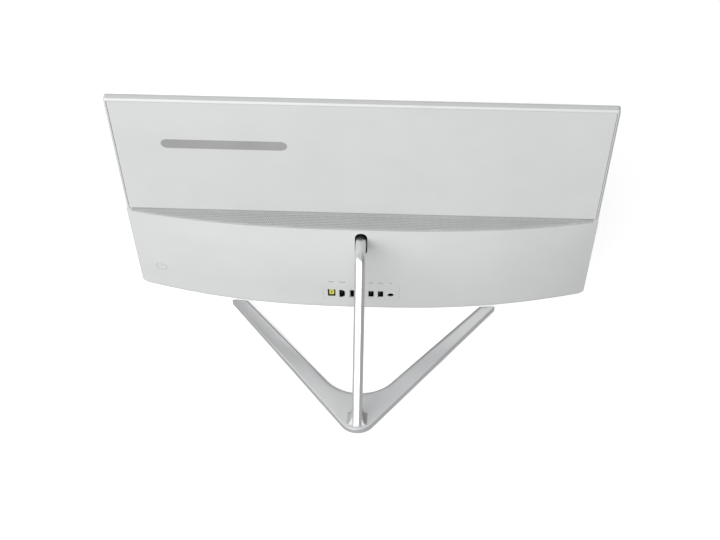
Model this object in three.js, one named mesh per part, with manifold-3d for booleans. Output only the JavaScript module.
// All-in-one desktop computer: a slim display unit, with the computer in the swelling of its lower rear
// cover, tilts on the end of a bent aluminium arm that stands on a flat V-shaped base.
// Millimetres, +Z up. The screen faces -Y and the ports face +Y. The origin is on the floor, under the
// middle of the whole object.
//
// The display unit is drawn in its own axes and then leant back: x across, y out of the rear face with
// zero at the rear of the side wall, z up the display from its bottom edge.

import * as THREE from 'three';
import { mergeVertices } from 'three/addons/utils/BufferGeometryUtils.js';
import { ConvexGeometry } from 'three/addons/geometries/ConvexGeometry.js';
import Module from 'manifold-3d';

const wasm = await Module();
wasm.setup();

// ---------------------------------------------------------------- driving dimensions

const WIDTH = 540;
const HEIGHT = 346;
const HALF = WIDTH / 2;
const LEAN = THREE.MathUtils.degToRad(15);
const EDGE = { y: -77, z: 65 };               // the display's bottom edge in the floor axes
const GAP = 0.3;                              // clearance between pieces that touch

const FRONT = -7;                             // front face of the bezel
const SKIN = 1.2;                             // bezel thickness
const RIM = { from: -0.6, to: 1.2, inset: 1.6 };   // chamfer of the upper rim: its depths and its width
const WALL_RING = 2.8;                        // width of the side wall ring
const PANEL = { side: 3.3, back: 1 };         // upper rear cover: its distance from the edge, and its face
const CORNER_TOP = 3;
const CORNER_BOTTOM = 5;

const SCREEN = { width: 509.2, bottom: 49.8, top: 336.2 };   // 23 inch, 16:9 active area

const LEDGE = 153.7;                          // height where the swelling starts
const BELLY_EDGE = 1.2;                       // depth of the swelling at the lower ends of its side edges
const BELLY_EDGE_TOP = 3.8;                   // and at their upper ends
const BELLY_TOP = 23.8;                       // its depth at the ledge, in the middle
const BELLY_FULL = 33.7;                      // its full depth
const BELLY_FULL_FROM = 50;                   // height where the full depth is reached
const BELLY_POWER = 2.5;                      // how square its plan outline is
const BELLY_FILLET = 7;                       // rounding along the bottom edge
const COVER_WALL = 2.2;

const PIVOT = { y: 10, z: 130.6 };            // tilt axis, in the display's axes
const SHAFT = { radius: 4, half: 20 };
const SLOT = { width: 13.4, bottom: 112, top: 147 };

const IO = { half: 45.5, bottom: 22.7, top: 53.3, face: 33.1, thick: 1.6 };
const BOARD = { left: -60, right: 125, bottom: 10, top: 108, back: 12, face: 13.6 };

const FAN = { x: -111, z: 89, size: 70, back: 5, face: 17, bore: 31, intake: 20, hub: 11, pin: 2 };

const ARM = { width: 12, depth: 14, round: 3.2, knuckle: 7, bend: 12, footY: 98.2, footZ: 5 };
const ARM_LEAN = THREE.MathUtils.degToRad(25.7);

const BASE = {
  bottom: 1, top: 8, tipY: -109, tipInner: 147, tipOuter: 167.4,
  outerAngle: THREE.MathUtils.degToRad(35.7), outerRadius: 21.4, outerCentre: 87.7,
  innerAngle: THREE.MathUtils.degToRad(38.1), innerRadius: 48.3, innerCentre: 0.1,
};
const PAD = { radius: 4.5, length: 34, x: 142.9, y: -90, pocket: 0.8, rearRadius: 7, rearY: 72 };
const BASE_SCREWS = { front: 91, rear: 98 };

const VENT = { half: 264, thick: 1.3, shelf: 3.2, slots: 19, pitch: 12 };
const SPEAKER_SLOTS = { chin: 12, chinFirst: 150, chinPitch: 7, under: 10, underFirst: 146, underPitch: 5 };
const BUTTON = { x: 244, half: 6, front: 1.7, back: 5.3, proud: 0.6, flange: 2.4, flangeTop: 3.2 };
const LENS = { z: 341.1, radius: 1.7 };
const BRACKET = { near: 8.4, ear: 2.6, far: 32, bottom: 116, top: 146, screwX: 26, screwZ: [121, 141] };

const SOCKET_FACE = IO.face - 0.4;            // the sockets' mouths, just inside the panel
const SOCKET_DEPTH = 12;
const USB = { z: 34.4, outer: [6.8, 13.2], mouth: [5.4, 11.6] };
const JACK = { x: -35, z: 33, radius: 3.5, bore: 1.8 };

// Each socket stands on the board behind its own cut-out: outer size and mouth size, across then up.
const SOCKETS = [
  { name: 'dc_socket', look: 'yellowPlastic', x: 35.6, z: 35, outer: [9.6, 15.4], mouth: [8, 13.6] },
  { name: 'hdmi_port', look: 'steel', x: 23, z: 33.6, outer: [7.2, 16.4], mouth: [5.8, 14.8] },
  { name: 'lan_port', look: 'steel', x: 7.6, z: 33.6, outer: [13.6, 17.6], mouth: [10.6, 13] },
  { name: 'usb_port_1', look: 'steel', x: -11.6, ...USB },
  { name: 'usb_port_2', look: 'steel', x: -23, ...USB },
];

const BOARD_SCREWS = [[-54, 16], [118, 16], [-54, 102], [118, 102]];
const PIPE = { width: 7.2, thick: 2.8, y: 17.3 };
const PIPE_PATH = [[20, 76], [-20, 80], [-58, 98], [-74, 128], [-84, 137], [-138, 137]];

// ---------------------------------------------------------------- looks

const LOOKS = {
  whitePaint: { color: 0xdcdddd, roughness: 0.45, metalness: 0.0 },
  whiteRim: { color: 0xe9eaea, roughness: 0.35, metalness: 0.1 },
  greyMesh: { color: 0xb4b5b5, roughness: 0.5, metalness: 0.2 },
  aluminium: { color: 0xc4c5c7, roughness: 0.32, metalness: 0.95 },
  steel: { color: 0x9fa3a8, roughness: 0.4, metalness: 0.9 },
  copper: { color: 0xb8734a, roughness: 0.35, metalness: 0.95 },
  blackPlastic: { color: 0x161617, roughness: 0.55, metalness: 0.0 },
  greyPlastic: { color: 0x8c8f92, roughness: 0.55, metalness: 0.0 },
  yellowPlastic: { color: 0xd6c64a, roughness: 0.5, metalness: 0.0 },
  rubber: { color: 0x202022, roughness: 0.9, metalness: 0.0 },
  screenGlass: { color: 0x0b0c0e, roughness: 0.2, metalness: 0.0 },
  acrylic: { color: 0xf2f5f5, roughness: 0.15, metalness: 0.0 },
  circuitBoard: { color: 0x1d4a33, roughness: 0.6, metalness: 0.0 },
};

// ---------------------------------------------------------------- helpers

// A closed three.js geometry as a solid that can be joined and cut.
function solid(geometry) {
  const bare = geometry.clone();
  bare.deleteAttribute('normal');
  bare.deleteAttribute('uv');
  const merged = mergeVertices(bare, 1e-4);
  return new wasm.Manifold(new wasm.Mesh({
    numProp: 3,
    vertProperties: new Float32Array(merged.attributes.position.array),
    triVerts: new Uint32Array(merged.index.array),
  }));
}

function geometryOf(body) {
  const mesh = body.getMesh();
  const geometry = new THREE.BufferGeometry();
  geometry.setAttribute('position', new THREE.BufferAttribute(mesh.vertProperties, 3));
  geometry.setIndex(new THREE.BufferAttribute(mesh.triVerts, 1));
  geometry.computeVertexNormals();
  return geometry;
}

function cut(geometry, ...tools) {
  return geometryOf(tools.reduce((body, tool) => body.subtract(solid(tool)), solid(geometry)));
}

function join(geometry, ...others) {
  return geometryOf(others.reduce((body, other) => body.add(solid(other)), solid(geometry)));
}

function common(geometry, other) {
  return geometryOf(solid(geometry).intersect(solid(other)));
}

function block(x0, x1, y0, y1, z0, z1) {
  const geometry = new THREE.BoxGeometry(x1 - x0, y1 - y0, z1 - z0);
  return geometry.translate((x0 + x1) / 2, (y0 + y1) / 2, (z0 + z1) / 2);
}

function rodX(radius, x0, x1, y, z, sides = 24) {
  const geometry = new THREE.CylinderGeometry(radius, radius, x1 - x0, sides);
  return geometry.rotateZ(-Math.PI / 2).translate((x0 + x1) / 2, y, z);
}

function rodY(radius, x, y0, y1, z, sides = 24) {
  const geometry = new THREE.CylinderGeometry(radius, radius, y1 - y0, sides);
  return geometry.translate(x, (y0 + y1) / 2, z);
}

function rodZ(radius, x, y, z0, z1, sides = 24) {
  const geometry = new THREE.CylinderGeometry(radius, radius, z1 - z0, sides);
  return geometry.rotateX(Math.PI / 2).translate(x, y, (z0 + z1) / 2);
}

// An outline given in x and z, thickened from y0 to y1.
function slabXZ(shape, y0, y1, options = {}) {
  const settings = { depth: y1 - y0, bevelEnabled: false, curveSegments: 6, ...options };
  return new THREE.ExtrudeGeometry(shape, settings).rotateX(Math.PI / 2).translate(0, y1, 0);
}

// An outline given in x and y, thickened from z0 to z1.
function slabXY(shape, z0, z1) {
  const settings = { depth: z1 - z0, bevelEnabled: false, curveSegments: 6 };
  return new THREE.ExtrudeGeometry(shape, settings).translate(0, 0, z0);
}

// An outline given in y and z, thickened from x0 to x1.
function slabYZ(shape, x0, x1) {
  const settings = { depth: x1 - x0, bevelEnabled: false, curveSegments: 6 };
  const geometry = new THREE.ExtrudeGeometry(shape, settings);
  return geometry.rotateX(Math.PI / 2).rotateZ(Math.PI / 2).translate(x0, 0, 0);
}

function polygon(points) {
  return new THREE.Shape(points.map(([a, b]) => new THREE.Vector2(a, b)));
}

// A rectangle with one radius on its two lower corners and another on its two upper ones.
function roundedRectangle(x0, x1, y0, y1, lower, upper = lower) {
  const shape = new THREE.Shape();
  shape.moveTo(x0 + lower, y0);
  shape.lineTo(x1 - lower, y0);
  shape.absarc(x1 - lower, y0 + lower, lower, -Math.PI / 2, 0, false);
  shape.lineTo(x1, y1 - upper);
  shape.absarc(x1 - upper, y1 - upper, upper, 0, Math.PI / 2, false);
  shape.lineTo(x0 + upper, y1);
  shape.absarc(x0 + upper, y1 - upper, upper, Math.PI / 2, Math.PI, false);
  shape.lineTo(x0, y0 + lower);
  shape.absarc(x0 + lower, y0 + lower, lower, Math.PI, 1.5 * Math.PI, false);
  return shape;
}

// The outline of the whole display, drawn in from its edge by the given amount.
function displayOutline(inset) {
  const lower = Math.max(CORNER_BOTTOM - inset, 1);
  const upper = Math.max(CORNER_TOP - inset, 1);
  return roundedRectangle(-HALF + inset, HALF - inset, inset, HEIGHT - inset, lower, upper);
}

// Display axes to floor axes.
function onFloor(y, z) {
  return new THREE.Vector2(
    EDGE.y + y * Math.cos(LEAN) + z * Math.sin(LEAN),
    EDGE.z + z * Math.cos(LEAN) - y * Math.sin(LEAN),
  );
}

const computer = new THREE.Group();
computer.name = 'all_in_one_pc';
const stand = new THREE.Group();
const display = new THREE.Group();
display.position.set(0, EDGE.y, EDGE.z);
display.rotation.x = -LEAN;
computer.add(stand, display);

function place(group, name, look, geometry) {
  const mesh = new THREE.Mesh(geometry, new THREE.MeshStandardMaterial(LOOKS[look]));
  mesh.name = name;
  group.add(mesh);
}

// ---------------------------------------------------------------- stand

function baseOutline() {
  const { tipY, tipInner, tipOuter, outerAngle, outerRadius, outerCentre } = BASE;
  const { innerAngle, innerRadius, innerCentre } = BASE;
  const round = 3;
  const shape = new THREE.Shape();
  shape.moveTo(tipInner + round, tipY);
  shape.lineTo(tipOuter - round, tipY);
  shape.quadraticCurveTo(tipOuter, tipY, tipOuter - round * Math.sin(outerAngle), tipY + round);
  shape.absarc(0, outerCentre, outerRadius, outerAngle, Math.PI - outerAngle, false);
  shape.lineTo(-tipOuter + round * Math.sin(outerAngle), tipY + round);
  shape.quadraticCurveTo(-tipOuter, tipY, -tipOuter + round, tipY);
  shape.lineTo(-tipInner - round, tipY);
  shape.quadraticCurveTo(-tipInner, tipY, -tipInner + round * Math.sin(innerAngle), tipY + round);
  shape.absarc(0, innerCentre, innerRadius, Math.PI - innerAngle, innerAngle, true);
  shape.lineTo(tipInner - round * Math.sin(innerAngle), tipY + round);
  shape.quadraticCurveTo(tipInner, tipY, tipInner + round, tipY);
  return shape;
}

// A pad under a leg: a bar with round ends that lies along the leg.
function legPad(side, radius, z0, z1) {
  const half = PAD.length / 2 - PAD.radius;
  const shape = new THREE.Shape();
  shape.absarc(0, half, radius, 0, Math.PI, false);
  shape.absarc(0, -half, radius, Math.PI, 2 * Math.PI, false);
  const legAngle = (BASE.outerAngle + BASE.innerAngle) / 2;
  return slabXY(shape, z0, z1).rotateZ(side * legAngle).translate(side * PAD.x, PAD.y, 0);
}

function baseCasting() {
  const pocketTop = BASE.bottom + PAD.pocket;
  const tools = [
    legPad(-1, PAD.radius + GAP, 0, pocketTop),
    legPad(1, PAD.radius + GAP, 0, pocketTop),
    rodZ(PAD.rearRadius + GAP, 0, PAD.rearY, 0, pocketTop),
  ];
  for (const y of Object.values(BASE_SCREWS)) {
    tools.push(rodZ(1.8, 0, y, 0, BASE.top + 1, 12), rodZ(3.2, 0, y, 0, 3.6, 12));
  }
  return cut(slabXY(baseOutline(), BASE.bottom, BASE.top), ...tools);
}

function armSection() {
  return roundedRectangle(-ARM.depth / 2, ARM.depth / 2, -ARM.width / 2, ARM.width / 2, ARM.round);
}

function standArm() {
  const pivot = onFloor(PIVOT.y, PIVOT.z);
  const cornerY = ARM.footY - (pivot.y - ARM.footZ) * Math.tan(ARM_LEAN);
  const down = new THREE.Vector3(0, Math.sin(ARM_LEAN), -Math.cos(ARM_LEAN));
  const start = new THREE.Vector3(0, pivot.x, pivot.y);
  const corner = new THREE.Vector3(0, cornerY, pivot.y);
  const intoBend = corner.clone().add(new THREE.Vector3(0, -ARM.bend, 0));
  const outOfBend = corner.clone().addScaledVector(down, ARM.bend);
  const foot = new THREE.Vector3(0, ARM.footY, ARM.footZ).addScaledVector(down, ARM.depth / 2);

  const path = new THREE.CurvePath();
  path.add(new THREE.LineCurve3(start, intoBend));
  path.add(new THREE.QuadraticBezierCurve3(intoBend, corner, outOfBend));
  path.add(new THREE.LineCurve3(outOfBend, foot));
  const bar = new THREE.ExtrudeGeometry(armSection(), { steps: 32, extrudePath: path, curveSegments: 2 });

  // The foot widens where it meets the base, and reaches a little further forward.
  const bottom = BASE.top + GAP;
  const flareTop = bottom + 14;
  const back = (z) => ARM.footY + ARM.depth / 2 / Math.cos(ARM_LEAN) - (z - ARM.footZ) * Math.tan(ARM_LEAN);
  const front = (z) => back(z) - ARM.depth / Math.cos(ARM_LEAN);
  const flarePoints = [];
  for (const side of [-1, 1]) {
    flarePoints.push(new THREE.Vector3(side * 8.2, back(bottom) - 1.5, bottom));
    flarePoints.push(new THREE.Vector3(side * 8.2, front(bottom) - 6, bottom));
    flarePoints.push(new THREE.Vector3(side * 4, back(flareTop) - 1, flareTop));
    flarePoints.push(new THREE.Vector3(side * 4, front(flareTop) + 1, flareTop));
  }

  const half = ARM.width / 2;
  const body = join(bar, rodX(ARM.knuckle, -half, half, pivot.x, pivot.y), new ConvexGeometry(flarePoints));
  return cut(
    body,
    block(-20, 20, 60, 140, -30, bottom),
    rodX(SHAFT.radius + GAP, -half - 1, half + 1, pivot.x, pivot.y),
    rodZ(1.8, 0, BASE_SCREWS.front, 0, 14.6, 12),
    rodZ(1.8, 0, BASE_SCREWS.rear, 0, 14.6, 12),
  );
}

function baseScrew(y) {
  return join(rodZ(1.5, 0, y, 3, 14, 12), rodZ(2.9, 0, y, 1.3, 3.3, 12));
}

function hingeRing(radius, x0, x1, sides) {
  const pivot = onFloor(PIVOT.y, PIVOT.z);
  const ring = rodX(radius, x0, x1, pivot.x, pivot.y, sides);
  return cut(ring, rodX(SHAFT.radius + GAP, x0 - 1, x1 + 1, pivot.x, pivot.y));
}

function hingeShaft() {
  const pivot = onFloor(PIVOT.y, PIVOT.z);
  return rodX(SHAFT.radius, -SHAFT.half, SHAFT.half, pivot.x, pivot.y);
}

function makeStand() {
  const padTop = BASE.bottom + PAD.pocket - GAP;
  place(stand, 'base_casting', 'aluminium', baseCasting());
  place(stand, 'stand_arm', 'aluminium', standArm());
  place(stand, 'foot_left', 'rubber', legPad(1, PAD.radius, 0, padTop));
  place(stand, 'foot_right', 'rubber', legPad(-1, PAD.radius, 0, padTop));
  place(stand, 'foot_rear', 'rubber', rodZ(PAD.rearRadius, 0, PAD.rearY, 0, padTop));
  place(stand, 'base_screw_front', 'steel', baseScrew(BASE_SCREWS.front));
  place(stand, 'base_screw_rear', 'steel', baseScrew(BASE_SCREWS.rear));
  place(stand, 'hinge_shaft', 'steel', hingeShaft());
  place(stand, 'friction_washer_left', 'steel', hingeRing(7.2, 11.3, 12.5, 24));
  place(stand, 'friction_washer_right', 'steel', hingeRing(7.2, -12.5, -11.3, 24));
  place(stand, 'hinge_nut_left', 'steel', hingeRing(7, 12.8, 17.5, 6));
  place(stand, 'hinge_nut_right', 'steel', hingeRing(7, -17.5, -12.8, 6));
}

// ---------------------------------------------------------------- display: frame, screen and covers

// Depth of the rear face of the lower cover at a place on the display.
function belly(x, z) {
  const rise = Math.max(0, (z - BELLY_FULL_FROM) / (LEDGE - BELLY_FULL_FROM));
  const middle = BELLY_FULL - (BELLY_FULL - BELLY_TOP) * rise ** 2;
  const low = BELLY_FILLET - Math.min(z, BELLY_FILLET);
  const roundOff = BELLY_FILLET - Math.sqrt(BELLY_FILLET ** 2 - low ** 2);
  const edge = BELLY_EDGE + ((BELLY_EDGE_TOP - BELLY_EDGE) * z) / LEDGE;
  const across = 1 - Math.abs(x / HALF) ** BELLY_POWER;
  return edge + (middle - edge - roundOff) * across;
}

// A solid from y0 to the belly's surface less an inset, between the given heights.
function underBelly(half, rows, y0, inset, columns) {
  const levels = rows.length - 1;
  const geometry = new THREE.BoxGeometry(2 * half, 2, levels, columns, 1, levels);
  const points = geometry.attributes.position;
  for (let i = 0; i < points.count; i += 1) {
    const x = points.getX(i);
    const z = rows[Math.round(points.getZ(i) + levels / 2)];
    const y = points.getY(i) > 0 ? belly(x, z) - inset : y0;
    points.setXYZ(i, x, y, z);
  }
  return geometry;
}

function sideWallRing() {
  // Square below the ledge, and chamfered above it, where it stands up round the upper cover.
  const front = FRONT + SKIN + GAP;
  const points = [];
  for (const [inset, y] of [[0, front], [0, RIM.from], [RIM.inset, RIM.to]]) {
    for (const point of displayOutline(inset).getPoints(4)) {
      points.push(new THREE.Vector3(point.x, y, point.y));
    }
  }
  const upper = cut(new ConvexGeometry(points), block(-HALF - 5, HALF + 5, -20, 20, -5, LEDGE));
  const lower = cut(
    slabXZ(displayOutline(0), front, 0, { curveSegments: 4 }),
    block(-HALF - 5, HALF + 5, -20, 20, LEDGE, HEIGHT + 5),
  );
  return cut(
    join(upper, lower),
    slabXZ(displayOutline(WALL_RING), -20, 20),
    block(-9, 9, FRONT, -1.6, HEIGHT - 10, HEIGHT - 2.2),
  );
}

function frontBezel() {
  const shape = displayOutline(0);
  const halfScreen = SCREEN.width / 2;
  shape.holes.push(roundedRectangle(-halfScreen, halfScreen, SCREEN.bottom, SCREEN.top, 0.4));
  shape.holes.push(roundedRectangle(-255, 255, 7, 41, 2));
  const plate = slabXZ(shape, FRONT, FRONT + SKIN, { curveSegments: 4 });
  return cut(plate, rodY(LENS.radius, 0, FRONT - 1, FRONT + SKIN + 1, LENS.z, 16));
}

function chinCover() {
  const tools = [];
  for (const side of [-1, 1]) {
    for (let i = 0; i < SPEAKER_SLOTS.chin; i += 1) {
      const x = side * (SPEAKER_SLOTS.chinFirst + i * SPEAKER_SLOTS.chinPitch);
      tools.push(block(x - 1.6, x + 1.6, FRONT - 1, FRONT + SKIN + 1, 21, 27));
    }
  }
  const shape = roundedRectangle(-255 + GAP, 255 - GAP, 7 + GAP, 41 - GAP, 1.7);
  return cut(slabXZ(shape, FRONT, FRONT + SKIN, { curveSegments: 3 }), ...tools);
}

function upperBackCover() {
  const half = HALF - PANEL.side;
  const shape = roundedRectangle(-half, half, LEDGE + 0.6, HEIGHT - PANEL.side, 0.6, 1);
  return slabXZ(shape, GAP, PANEL.back, { curveSegments: 3 });
}

// The ledge seen from above, between the given half width and depth, and drawn in from its rear edge.
function ventOutline(half, front, inset) {
  const steps = 24;
  const points = [[-half, front], [half, front]];
  for (let i = 0; i <= steps; i += 1) {
    const x = half - (2 * half * i) / steps;
    points.push([x, belly(x, LEDGE) - inset]);
  }
  return polygon(points);
}

function slotOutline() {
  const radius = SLOT.width / 2;
  const shape = new THREE.Shape();
  shape.absarc(0, SLOT.top - radius, radius, 0, Math.PI, false);
  shape.absarc(0, SLOT.bottom + radius, radius, Math.PI, 2 * Math.PI, false);
  return shape;
}

// The button's outline seen from below, grown by the given amount.
function buttonOutline(grow, corner) {
  const { x, half, front, back } = BUTTON;
  return roundedRectangle(x - half - grow, x + half + grow, front - grow, back + grow, corner);
}

function lowerBackCover() {
  const rows = [0, 0.9, 3.2, BELLY_FILLET, 28, BELLY_FULL_FROM, 76, 102, 128, LEDGE];
  const outer = common(
    underBelly(HALF, rows, GAP, 0, 36),
    slabXZ(displayOutline(0), -10, 60, { curveSegments: 4 }),
  );
  const innerRows = [2, 3.2, BELLY_FILLET, 28, BELLY_FULL_FROM, 76, 102, 128, LEDGE - VENT.thick - 2];
  const hollow = underBelly(258, innerRows, -1, COVER_WALL, 34);
  const tools = [
    hollow,
    slabXZ(slotOutline(), 12, 50),
    slabXZ(roundedRectangle(-IO.half, IO.half, IO.bottom, IO.top, 2), 20, 50, { curveSegments: 3 }),
    block(-VENT.half - GAP, VENT.half + GAP, -1, 50, LEDGE - VENT.thick - GAP, LEDGE + 5),
    slabXY(ventOutline(236, 2.4, VENT.shelf), LEDGE - 6, LEDGE + 5),
    slabXY(buttonOutline(GAP, 1.9), -2, 4.4),
  ];
  for (const side of [-1, 1]) {
    for (let i = 0; i < SPEAKER_SLOTS.under; i += 1) {
      const x = side * (SPEAKER_SLOTS.underFirst + i * SPEAKER_SLOTS.underPitch);
      tools.push(block(x - 1, x + 1, 6, 15, -1, 3));
    }
  }
  return cut(outer, ...tools);
}

// The strip that is the whole top of the ledge, with a row of slots through it.
function ventGrille() {
  const tools = [];
  for (let i = -VENT.slots; i <= VENT.slots; i += 1) {
    const x = i * VENT.pitch;
    const rear = belly(Math.abs(x) + 2, LEDGE) - VENT.shelf - 0.8;
    if (rear > 6) {
      tools.push(block(x - 1.5, x + 1.5, 3.2, rear, LEDGE - 4, LEDGE + 4));
    }
  }
  return cut(slabXY(ventOutline(VENT.half, GAP, 0.1), LEDGE - VENT.thick, LEDGE), ...tools);
}

function slotShroud() {
  // A black box round the knuckle, open to the rear, that the hinge shaft passes through.
  const inner = SLOT.width / 2 + 0.1;
  const outer = inner + 0.8;
  const bottom = SLOT.bottom - 2.2;
  const top = SLOT.top + 2.2;
  return cut(
    slabYZ(polygon([[0.4, bottom], [25, bottom], [20.6, top], [0.4, top]]), -outer, outer),
    block(-inner, inner, -1, 40, bottom + 1, top - 1),
    rodX(SHAFT.radius + 0.5, -SHAFT.half, SHAFT.half, PIVOT.y, PIVOT.z),
  );
}

function chassisPlate() {
  const plate = slabXZ(roundedRectangle(-262, 262, 6, 341, 4), -0.8, 0, { curveSegments: 3 });
  const tools = [];
  for (const x of [-200, 0, 200]) {
    tools.push(slabXZ(roundedRectangle(x - 70, x + 70, 190, 300, 8), -2, 1, { curveSegments: 3 }));
  }
  return cut(plate, ...tools);
}

function makeCase() {
  place(display, 'side_wall_ring', 'whiteRim', sideWallRing());
  place(display, 'front_bezel', 'whiteRim', frontBezel());
  place(display, 'chin_cover', 'greyMesh', chinCover());
  place(display, 'upper_back_cover', 'whitePaint', upperBackCover());
  place(display, 'lower_back_cover', 'whitePaint', lowerBackCover());
  place(display, 'vent_grille', 'greyMesh', ventGrille());
  place(display, 'slot_shroud', 'blackPlastic', slotShroud());
  place(display, 'chassis_plate', 'steel', chassisPlate());
}

function makeScreen() {
  place(display, 'lcd_panel', 'screenGlass', block(-258, 258, -5.5, -4.3, 46, 337.6));
  place(display, 'light_guide_plate', 'acrylic', block(-257, 257, -4, -2.2, 47, 337));
  place(display, 'led_bar', 'steel', block(-250, 250, -4, -2.2, 43.2, 46.7));
  place(display, 'backlight_tray', 'steel', block(-260, 260, -1.9, -1.1, 42, 338));
  place(display, 'timing_board', 'circuitBoard', block(-110, 70, -5.4, -4.2, 12, 38));
  const lens = rodY(LENS.radius - GAP, 0, FRONT + GAP, -5.4, LENS.z, 16);
  place(display, 'webcam_lens', 'screenGlass', lens);
  place(display, 'webcam_module', 'blackPlastic', block(-8, 8, -5.1, -2.2, 338.3, 343.4));
}

// ---------------------------------------------------------------- display: hinge

// A range of x on one side of the middle, lowest first.
function span(side, near, far) {
  return side > 0 ? [near, far] : [-far, -near];
}

function hingeBracket(side) {
  const { near, ear, far, bottom, top, screwX, screwZ } = BRACKET;
  const profile = polygon([[GAP, bottom], [8, 120], [17.5, 124], [17.5, 138], [8, top], [GAP, top]]);
  const flange = block(...span(side, near, far), GAP, 2.3, bottom, top);
  const tools = [rodX(SHAFT.radius + 0.15, ...span(side, 0, 20), PIVOT.y, PIVOT.z)];
  for (const z of screwZ) {
    tools.push(rodY(1.8, side * screwX, -1, 5, z, 12));
  }
  return cut(join(flange, slabYZ(profile, ...span(side, near, near + ear))), ...tools);
}

function panScrew(x, y, z, length) {
  return join(rodY(1.5, x, y - length, y + 0.3, z, 12), rodY(3, x, y, y + 1.8, z, 12));
}

function makeHinge() {
  let number = 1;
  for (const side of [1, -1]) {
    place(display, side > 0 ? 'hinge_bracket_left' : 'hinge_bracket_right', 'steel', hingeBracket(side));
    for (const z of BRACKET.screwZ) {
      place(display, `bracket_screw_${number}`, 'steel', panScrew(side * BRACKET.screwX, 2.6, z, 2.4));
      number += 1;
    }
  }
}

// ---------------------------------------------------------------- display: sockets on the rear

function centredBlock(x, z, [across, up], y0, y1) {
  return block(x - across / 2, x + across / 2, y0, y1, z - up / 2, z + up / 2);
}

function socket({ x, z, outer, mouth }) {
  const shell = centredBlock(x, z, outer, BOARD.face + GAP, SOCKET_FACE);
  return cut(shell, centredBlock(x, z, mouth, SOCKET_FACE - SOCKET_DEPTH, SOCKET_FACE + 1));
}

function audioJack() {
  const { x, z, radius, bore } = JACK;
  const body = centredBlock(x, z, [9, 10], BOARD.face + GAP, SOCKET_FACE - 2.4);
  const nose = rodY(radius, x, SOCKET_FACE - 2.6, SOCKET_FACE, z, 20);
  return cut(join(body, nose), rodY(bore, x, SOCKET_FACE - 14, SOCKET_FACE + 1, z, 16));
}

function ioPanel() {
  const { half, bottom, top, face, thick } = IO;
  const shape = roundedRectangle(-half + GAP, half - GAP, bottom + GAP, top - GAP, 1.7);
  const tools = SOCKETS.map(({ x, z, outer }) => (
    centredBlock(x, z, [outer[0] + 2 * GAP, outer[1] + 2 * GAP], face - 5, face + 5)
  ));
  tools.push(rodY(JACK.radius + GAP, JACK.x, face - 5, face + 5, JACK.z, 20));
  return cut(slabXZ(shape, face - thick, face, { curveSegments: 3 }), ...tools);
}

function makeSockets() {
  place(display, 'io_panel', 'whitePaint', ioPanel());
  for (const entry of SOCKETS) {
    place(display, entry.name, entry.look, socket(entry));
  }
  place(display, 'audio_jack', 'blackPlastic', audioJack());
}

// ---------------------------------------------------------------- display: electronics

function motherboard() {
  const { left, right, bottom, top, back, face } = BOARD;
  return cut(
    block(left, right, back, face, bottom, top),
    ...BOARD_SCREWS.map(([x, z]) => rodY(1.9, x, back - 1, face + 1, z, 12)),
  );
}

// A hollow standoff on the chassis plate, with the screw that holds the board down in its top.
function boardStandoff(x, z) {
  const post = rodY(3, x, GAP, BOARD.back - GAP, z, 12);
  const stud = rodY(1.6, x, BOARD.back - 1, BOARD.face + 0.6, z, 12);
  const head = rodY(3, x, BOARD.face + GAP, BOARD.face + 2, z, 12);
  return join(post, stud, head);
}

function finStack() {
  const geometry = block(FAN.x - 30, FAN.x + 30, 5, 6, 127, 146);
  const fins = [];
  for (let i = 0; i < 20; i += 1) {
    const x = FAN.x - 29.5 + i * 3;
    fins.push(block(x, x + 0.8, 5.5, 12.3, 127, 146));
  }
  return join(geometry, ...fins);
}

// The pipe is soldered to the cold plate that presses on the processor.
function heatPipe() {
  const { width, thick, y } = PIPE;
  const points = PIPE_PATH.map(([x, z]) => new THREE.Vector3(x, y, z));
  const path = new THREE.CatmullRomCurve3(points, false, 'centripetal');
  const section = roundedRectangle(-thick / 2, thick / 2, -width / 2, width / 2, 1.2);
  const pipe = new THREE.ExtrudeGeometry(section, { steps: 18, extrudePath: path, curveSegments: 1 });
  const coldPlate = block(-4, 45, 15.3, 16.3, 56, 96);
  return join(coldPlate, pipe);
}

function fanHousing() {
  const { x, z, size, back, face, bore, intake, pin } = FAN;
  const half = size / 2;
  const body = slabXZ(roundedRectangle(x - half, x + half, z - half, z + half, 6), back, face);
  const hollow = cut(
    body,
    rodY(bore, x, back + 1.2, face - 1.2, z, 36),
    block(x - half + 6, x + bore - 6, back + 1.2, face - 1.2, z, z + half + 1),
    rodY(intake, x, face - 2, face + 1, z, 32),
  );
  return join(hollow, rodY(pin, x, back + 0.5, back + 7, z, 12));
}

function fanRotor() {
  const { x, z, back, face, bore, hub, pin } = FAN;
  const bottom = back + 1.8;
  const top = face - 1.8;
  const blades = [];
  const count = 13;
  for (let i = 0; i < count; i += 1) {
    const blade = block(-0.5, 0.5, bottom, top, hub - 1.5, bore - 2.5);
    blades.push(blade.rotateY((i * 2 * Math.PI) / count).translate(x, 0, z));
  }
  return cut(join(rodY(hub, x, bottom, top, z, 26), ...blades), rodY(pin + 0.4, x, 0, back + 7.6, z, 16));
}

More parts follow.
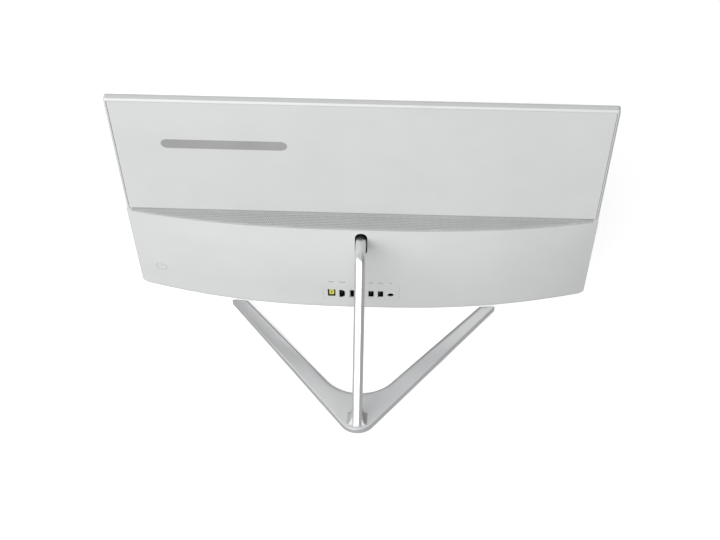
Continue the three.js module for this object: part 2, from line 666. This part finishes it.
// A memory card, lying along the board, with its edge in its holder.
function memoryModule(z) {
  const holder = block(54, 122, BOARD.face + GAP, 19, z - 5, z - GAP);
  const groove = block(55, 121, 16.7, 18.5, z - 4, z + 1);
  const pieces = [block(56, 120, 17, 18.2, z - 3, z + 26), block(56, 58, 14, 17.2, z - 4.9, z - 1)];
  for (let i = 0; i < 4; i += 1) {
    pieces.push(block(60 + i * 15, 71 + i * 15, 18, 19.2, z + 8, z + 20));
  }
  return join(cut(holder, groove), ...pieces);
}

function storageDrive() {
  return block(132, 201.8, 2, 9, 44, 144);
}

function driveBracket() {
  const tray = block(129, 204.8, GAP, 1.6, 48, 140);
  return cut(tray, block(140, 194, -1, 3, 60, 128));
}

function speaker(side) {
  const box = block(...span(side, 142, 198), 3, 15.5, 3, 26);
  return cut(box, rodZ(5, side * 170, 9.6, 2, 6, 24));
}

function makeElectronics() {
  place(display, 'motherboard', 'circuitBoard', motherboard());
  BOARD_SCREWS.forEach(([x, z], index) => {
    place(display, `board_standoff_${index + 1}`, 'steel', boardStandoff(x, z));
  });
  place(display, 'processor', 'steel', block(3, 38, BOARD.face + GAP, 15, 62, 90));
  place(display, 'heat_pipe', 'copper', heatPipe());
  place(display, 'fin_stack', 'aluminium', finStack());
  place(display, 'fan_housing', 'blackPlastic', fanHousing());
  place(display, 'fan_rotor', 'greyPlastic', fanRotor());
  place(display, 'memory_module_1', 'circuitBoard', memoryModule(48));
  place(display, 'memory_module_2', 'circuitBoard', memoryModule(79.6));
  place(display, 'wifi_card', 'circuitBoard', block(-55, -33, BOARD.face + 1.2, BOARD.face + 3.6, 46, 76));
  place(display, 'storage_drive', 'greyPlastic', storageDrive());
  place(display, 'drive_bracket', 'steel', driveBracket());
  place(display, 'speaker_left', 'blackPlastic', speaker(1));
  place(display, 'speaker_right', 'blackPlastic', speaker(-1));
}

// ---------------------------------------------------------------- display: power button

function powerButton() {
  const { x, half, front, proud, flange, flangeTop } = BUTTON;
  const cap = slabXY(buttonOutline(0, 1.6), -proud, flange);
  return join(cap, block(x - half - 1, x + half + 0.6, front - 0.9, flangeTop, flange, flangeTop));
}

function makeButton() {
  const { x, flangeTop } = BUTTON;
  place(display, 'power_button', 'whiteRim', powerButton());
  place(display, 'button_switch', 'blackPlastic', block(x - 3, x + 3, 1, 4.6, flangeTop + 1.1, 8));
}

makeStand();
makeCase();
makeScreen();
makeHinge();
makeSockets();
makeElectronics();
makeButton();

export default computer;
